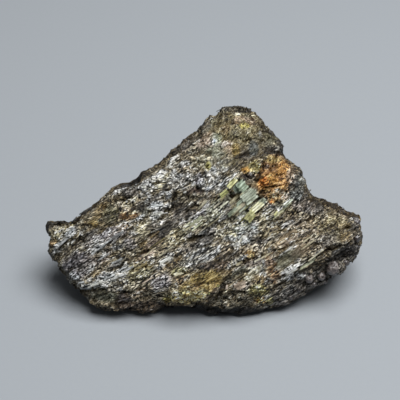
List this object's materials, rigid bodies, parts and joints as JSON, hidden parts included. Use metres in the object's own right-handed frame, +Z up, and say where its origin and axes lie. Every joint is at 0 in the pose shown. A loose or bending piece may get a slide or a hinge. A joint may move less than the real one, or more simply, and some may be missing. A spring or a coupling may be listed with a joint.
{
  "type": "raw nuummite",
  "caption": "Broken chunk of fibrous dark amphibole rock with a pointed crest, raised ends, flat-faced blades and small garnets, resting on a flat underside.",
  "frame": {"origin": "middle of the bounding box, on the flat underside that the chunk rests on", "axes": "+X along the chunk's length towards the end with the garnets, +Y away from the broad fibrous face, +Z up"},
  "size_m": [0.105, 0.0632, 0.0493],
  "materials": {
    "nuummite": "uneven broken stone, glossy on its crystal faces"
  },
  "bodies": {
    "root": {"nuummite": "nuummite"}
  },
  "joints": []
}
